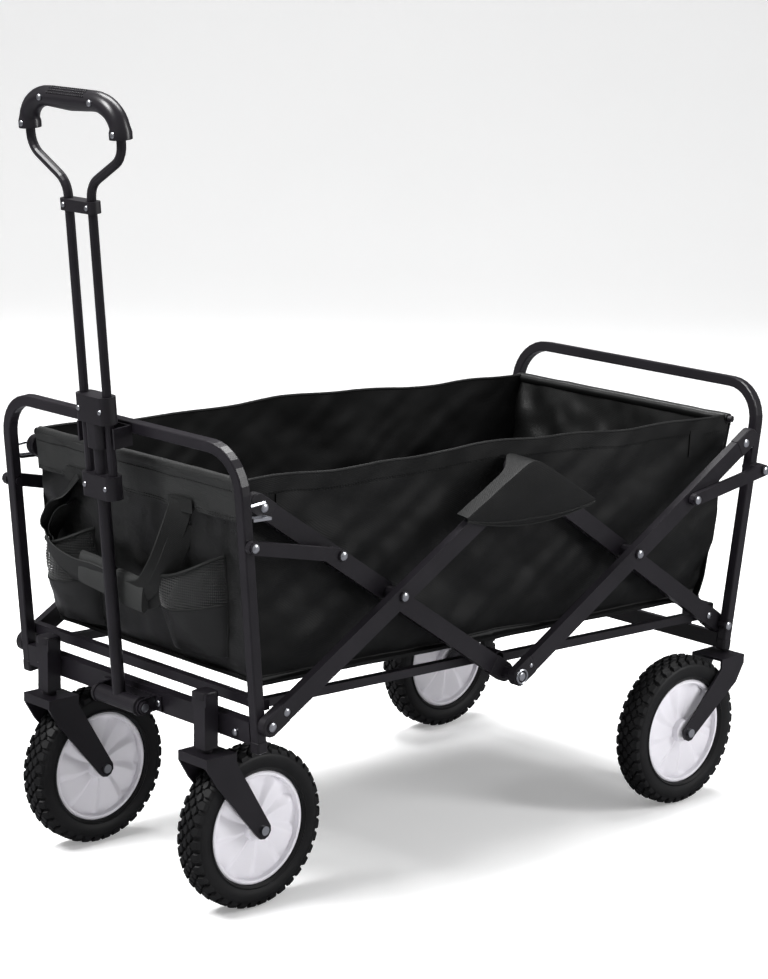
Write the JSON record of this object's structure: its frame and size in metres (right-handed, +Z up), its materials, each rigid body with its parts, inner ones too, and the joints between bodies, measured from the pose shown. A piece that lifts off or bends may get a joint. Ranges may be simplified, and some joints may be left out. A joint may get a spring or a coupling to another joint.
{
  "type": "folding utility wagon",
  "caption": "Collapsible four-wheel wagon: open fabric tub in a double-scissor folding steel frame, swivelling front casters and a telescoping loop pull handle at the front.",
  "frame": {"origin": "centre of the object's footprint box, on the ground", "axes": "+Z up; -Y is the handle end; +X is the near long side; +Y is the direction from the handle end to the fixed wheels"},
  "size_m": [0.4806, 0.9402, 0.9138],
  "materials": {
    "steel": "satin black powder coat",
    "bright": "zinc-plated wire and bolts",
    "rubber": "moulded block tread",
    "rim": "moulded white",
    "plastic": "moulded black",
    "fabric": "coated black polyester weave"
  },
  "bodies": {
    "chassis_front": {"front_frame": "steel", "front_crossbar": "steel", "front_floor_bar": "steel", "caster_stem_near": "steel", "caster_stem_far": "steel", "handle_bracket": "steel", "handle_clip": "steel", "panel_front": "fabric", "panel_near": "fabric", "panel_far": "fabric", "tub_floor": "fabric"},
    "chassis_rear": {"rear_frame": "steel", "rear_crossbar": "steel", "rear_floor_bar": "steel", "rear_fork_near": "steel", "rear_fork_far": "steel", "rear_axle_near": "bright", "rear_axle_far": "bright", "panel_rear": "fabric"},
    "bars_b": {"bar_b_near": "steel", "bar_b_far": "steel"},
    "bars_a": {"bar_a_near": "steel", "bar_a_far": "steel"},
    "bars_c": {"bar_c_near": "steel", "bar_c_far": "steel"},
    "bars_d": {"bar_d_near": "steel", "bar_d_far": "steel"},
    "links_front": {"link_front_near": "steel", "link_front_far": "steel"},
    "links_rear": {"link_rear_near": "steel", "link_rear_far": "steel"},
    "floor_front": {"rail_front_near": "steel", "rail_front_far": "steel", "floor_tube": "steel"},
    "floor_rear": {"rail_rear_near": "steel", "rail_rear_far": "steel"},
    "handle_lower": {"handle_lower_tube": "steel", "lock_collar": "plastic", "lock_insert": "plastic"},
    "handle_upper": {"handle_loop": "steel", "slider_collar": "steel", "neck_collar": "steel", "grip": "plastic"},
    "caster_near_body": {"front_fork_near": "steel", "front_axle_near": "bright"},
    "front_wheel_near_body": {"front_tyre_near": "rubber", "front_rim_near": "rim"},
    "rear_wheel_near_body": {"rear_tyre_near": "rubber", "rear_rim_near": "rim"},
    "latch_front_near_body": {"front_latch_near": "bright"},
    "latch_rear_near_body": {"rear_latch_near": "bright"},
    "caster_far_body": {"front_fork_far": "steel", "front_axle_far": "bright"},
    "front_wheel_far_body": {"front_tyre_far": "rubber", "front_rim_far": "rim"},
    "rear_wheel_far_body": {"rear_tyre_far": "rubber", "rear_rim_far": "rim"},
    "latch_front_far_body": {"front_latch_far": "bright"},
    "latch_rear_far_body": {"rear_latch_far": "bright"}
  },
  "joints": [
    {"name": "fold", "type": "hinge", "parent": "chassis_front", "child": "bars_b", "pos_m": [0, -0.36454, 0.23699], "axis": [1, 0, 0], "range_deg": [0, 40], "deforming": ["panel_near", "panel_far", "tub_floor"]},
    {"name": "cross_front", "type": "hinge", "parent": "bars_b", "child": "bars_a", "pos_m": [0, -0.16999, 0.35036], "axis": [1, 0, 0], "range_deg": [-80, 0]},
    {"name": "top_middle", "type": "hinge", "parent": "bars_b", "child": "bars_d", "pos_m": [0, 0.03068, 0.46729], "axis": [1, 0, 0], "range_deg": [-80, 0]},
    {"name": "cross_rear", "type": "hinge", "parent": "bars_d", "child": "bars_c", "pos_m": [0, 0.22383, 0.33833], "axis": [1, 0, 0], "range_deg": [0, 80]},
    {"name": "rear_foot", "type": "hinge", "parent": "bars_d", "child": "chassis_rear", "pos_m": [0, 0.4111, 0.2133], "axis": [1, 0, 0], "range_deg": [0, 40]},
    {"name": "link_front_pivot", "type": "hinge", "parent": "chassis_front", "child": "links_front", "pos_m": [0, -0.38839, 0.43907], "axis": [1, 0, 0], "range_deg": [0, 71.29]},
    {"name": "link_rear_pivot", "type": "hinge", "parent": "chassis_rear", "child": "links_rear", "pos_m": [0, 0.44724, 0.41354], "axis": [1, 0, 0], "range_deg": [-71.29, 0]},
    {"name": "rail_front_pivot", "type": "hinge", "parent": "chassis_front", "child": "floor_front", "pos_m": [0, -0.34324, 0.2466], "axis": [1, 0, 0], "range_deg": [0, 70.84]},
    {"name": "rail_rear_pivot", "type": "hinge", "parent": "chassis_rear", "child": "floor_rear", "pos_m": [0, 0.39042, 0.22418], "axis": [1, 0, 0], "range_deg": [-70.84, 0]},
    {"name": "handle_hinge", "type": "hinge", "parent": "chassis_front", "child": "handle_lower", "pos_m": [0, -0.39627, 0.22219], "axis": [1, 0, 0], "range_deg": [0, 80]},
    {"name": "handle_slide", "type": "slide", "parent": "handle_lower", "child": "handle_upper", "axis": [0, -0.0915, 0.9958], "range_m": [-0.2, 0.028]},
    {"name": "caster_near", "type": "hinge", "parent": "chassis_front", "child": "caster_near_body", "pos_m": [0.1435, -0.38843, 0.1935], "axis": [0, 0, 1], "continuous": true},
    {"name": "front_wheel_near", "type": "hinge", "parent": "caster_near_body", "child": "front_wheel_near_body", "pos_m": [0.1435, -0.32443, 0.0945], "axis": [1, 0, 0], "continuous": true},
    {"name": "rear_wheel_near", "type": "hinge", "parent": "chassis_rear", "child": "rear_wheel_near_body", "pos_m": [0.212, 0.32057, 0.0945], "axis": [1, 0, 0], "continuous": true},
    {"name": "caster_far", "type": "hinge", "parent": "chassis_front", "child": "caster_far_body", "pos_m": [-0.1435, -0.38843, 0.1935], "axis": [0, 0, 1], "continuous": true},
    {"name": "front_wheel_far", "type": "hinge", "parent": "caster_far_body", "child": "front_wheel_far_body", "pos_m": [-0.1435, -0.32443, 0.0945], "axis": [1, 0, 0], "continuous": true},
    {"name": "rear_wheel_far", "type": "hinge", "parent": "chassis_rear", "child": "rear_wheel_far_body", "pos_m": [-0.212, 0.32057, 0.0945], "axis": [1, 0, 0], "continuous": true},
    {"name": "latch_front_near_swing", "type": "hinge", "parent": "chassis_front", "child": "latch_front_near_body", "pos_m": [0.208, -0.38161, 0.46687], "axis": [1, 0, 0], "range_deg": [0, 95]},
    {"name": "latch_rear_near_swing", "type": "hinge", "parent": "chassis_rear", "child": "latch_rear_near_body", "pos_m": [0.208, 0.44217, 0.44171], "axis": [1, 0, 0], "range_deg": [-95, 0]},
    {"name": "latch_front_far_swing", "type": "hinge", "parent": "chassis_front", "child": "latch_front_far_body", "pos_m": [-0.208, -0.38161, 0.46687], "axis": [1, 0, 0], "range_deg": [0, 95]},
    {"name": "latch_rear_far_swing", "type": "hinge", "parent": "chassis_rear", "child": "latch_rear_far_body", "pos_m": [-0.208, 0.44217, 0.44171], "axis": [1, 0, 0], "range_deg": [-95, 0]}
  ],
  "couplings": [
    {"joint": "cross_front", "follows": "fold", "ratio": -2},
    {"joint": "top_middle", "follows": "fold", "ratio": -2},
    {"joint": "cross_rear", "follows": "fold", "ratio": 2},
    {"joint": "rear_foot", "follows": "fold", "ratio": 1},
    {"joint": "link_front_pivot", "follows": "fold", "ratio": 1.7821},
    {"joint": "link_rear_pivot", "follows": "fold", "ratio": -1.7821},
    {"joint": "rail_front_pivot", "follows": "fold", "ratio": 1.7708},
    {"joint": "rail_rear_pivot", "follows": "fold", "ratio": -1.7708}
  ]
}
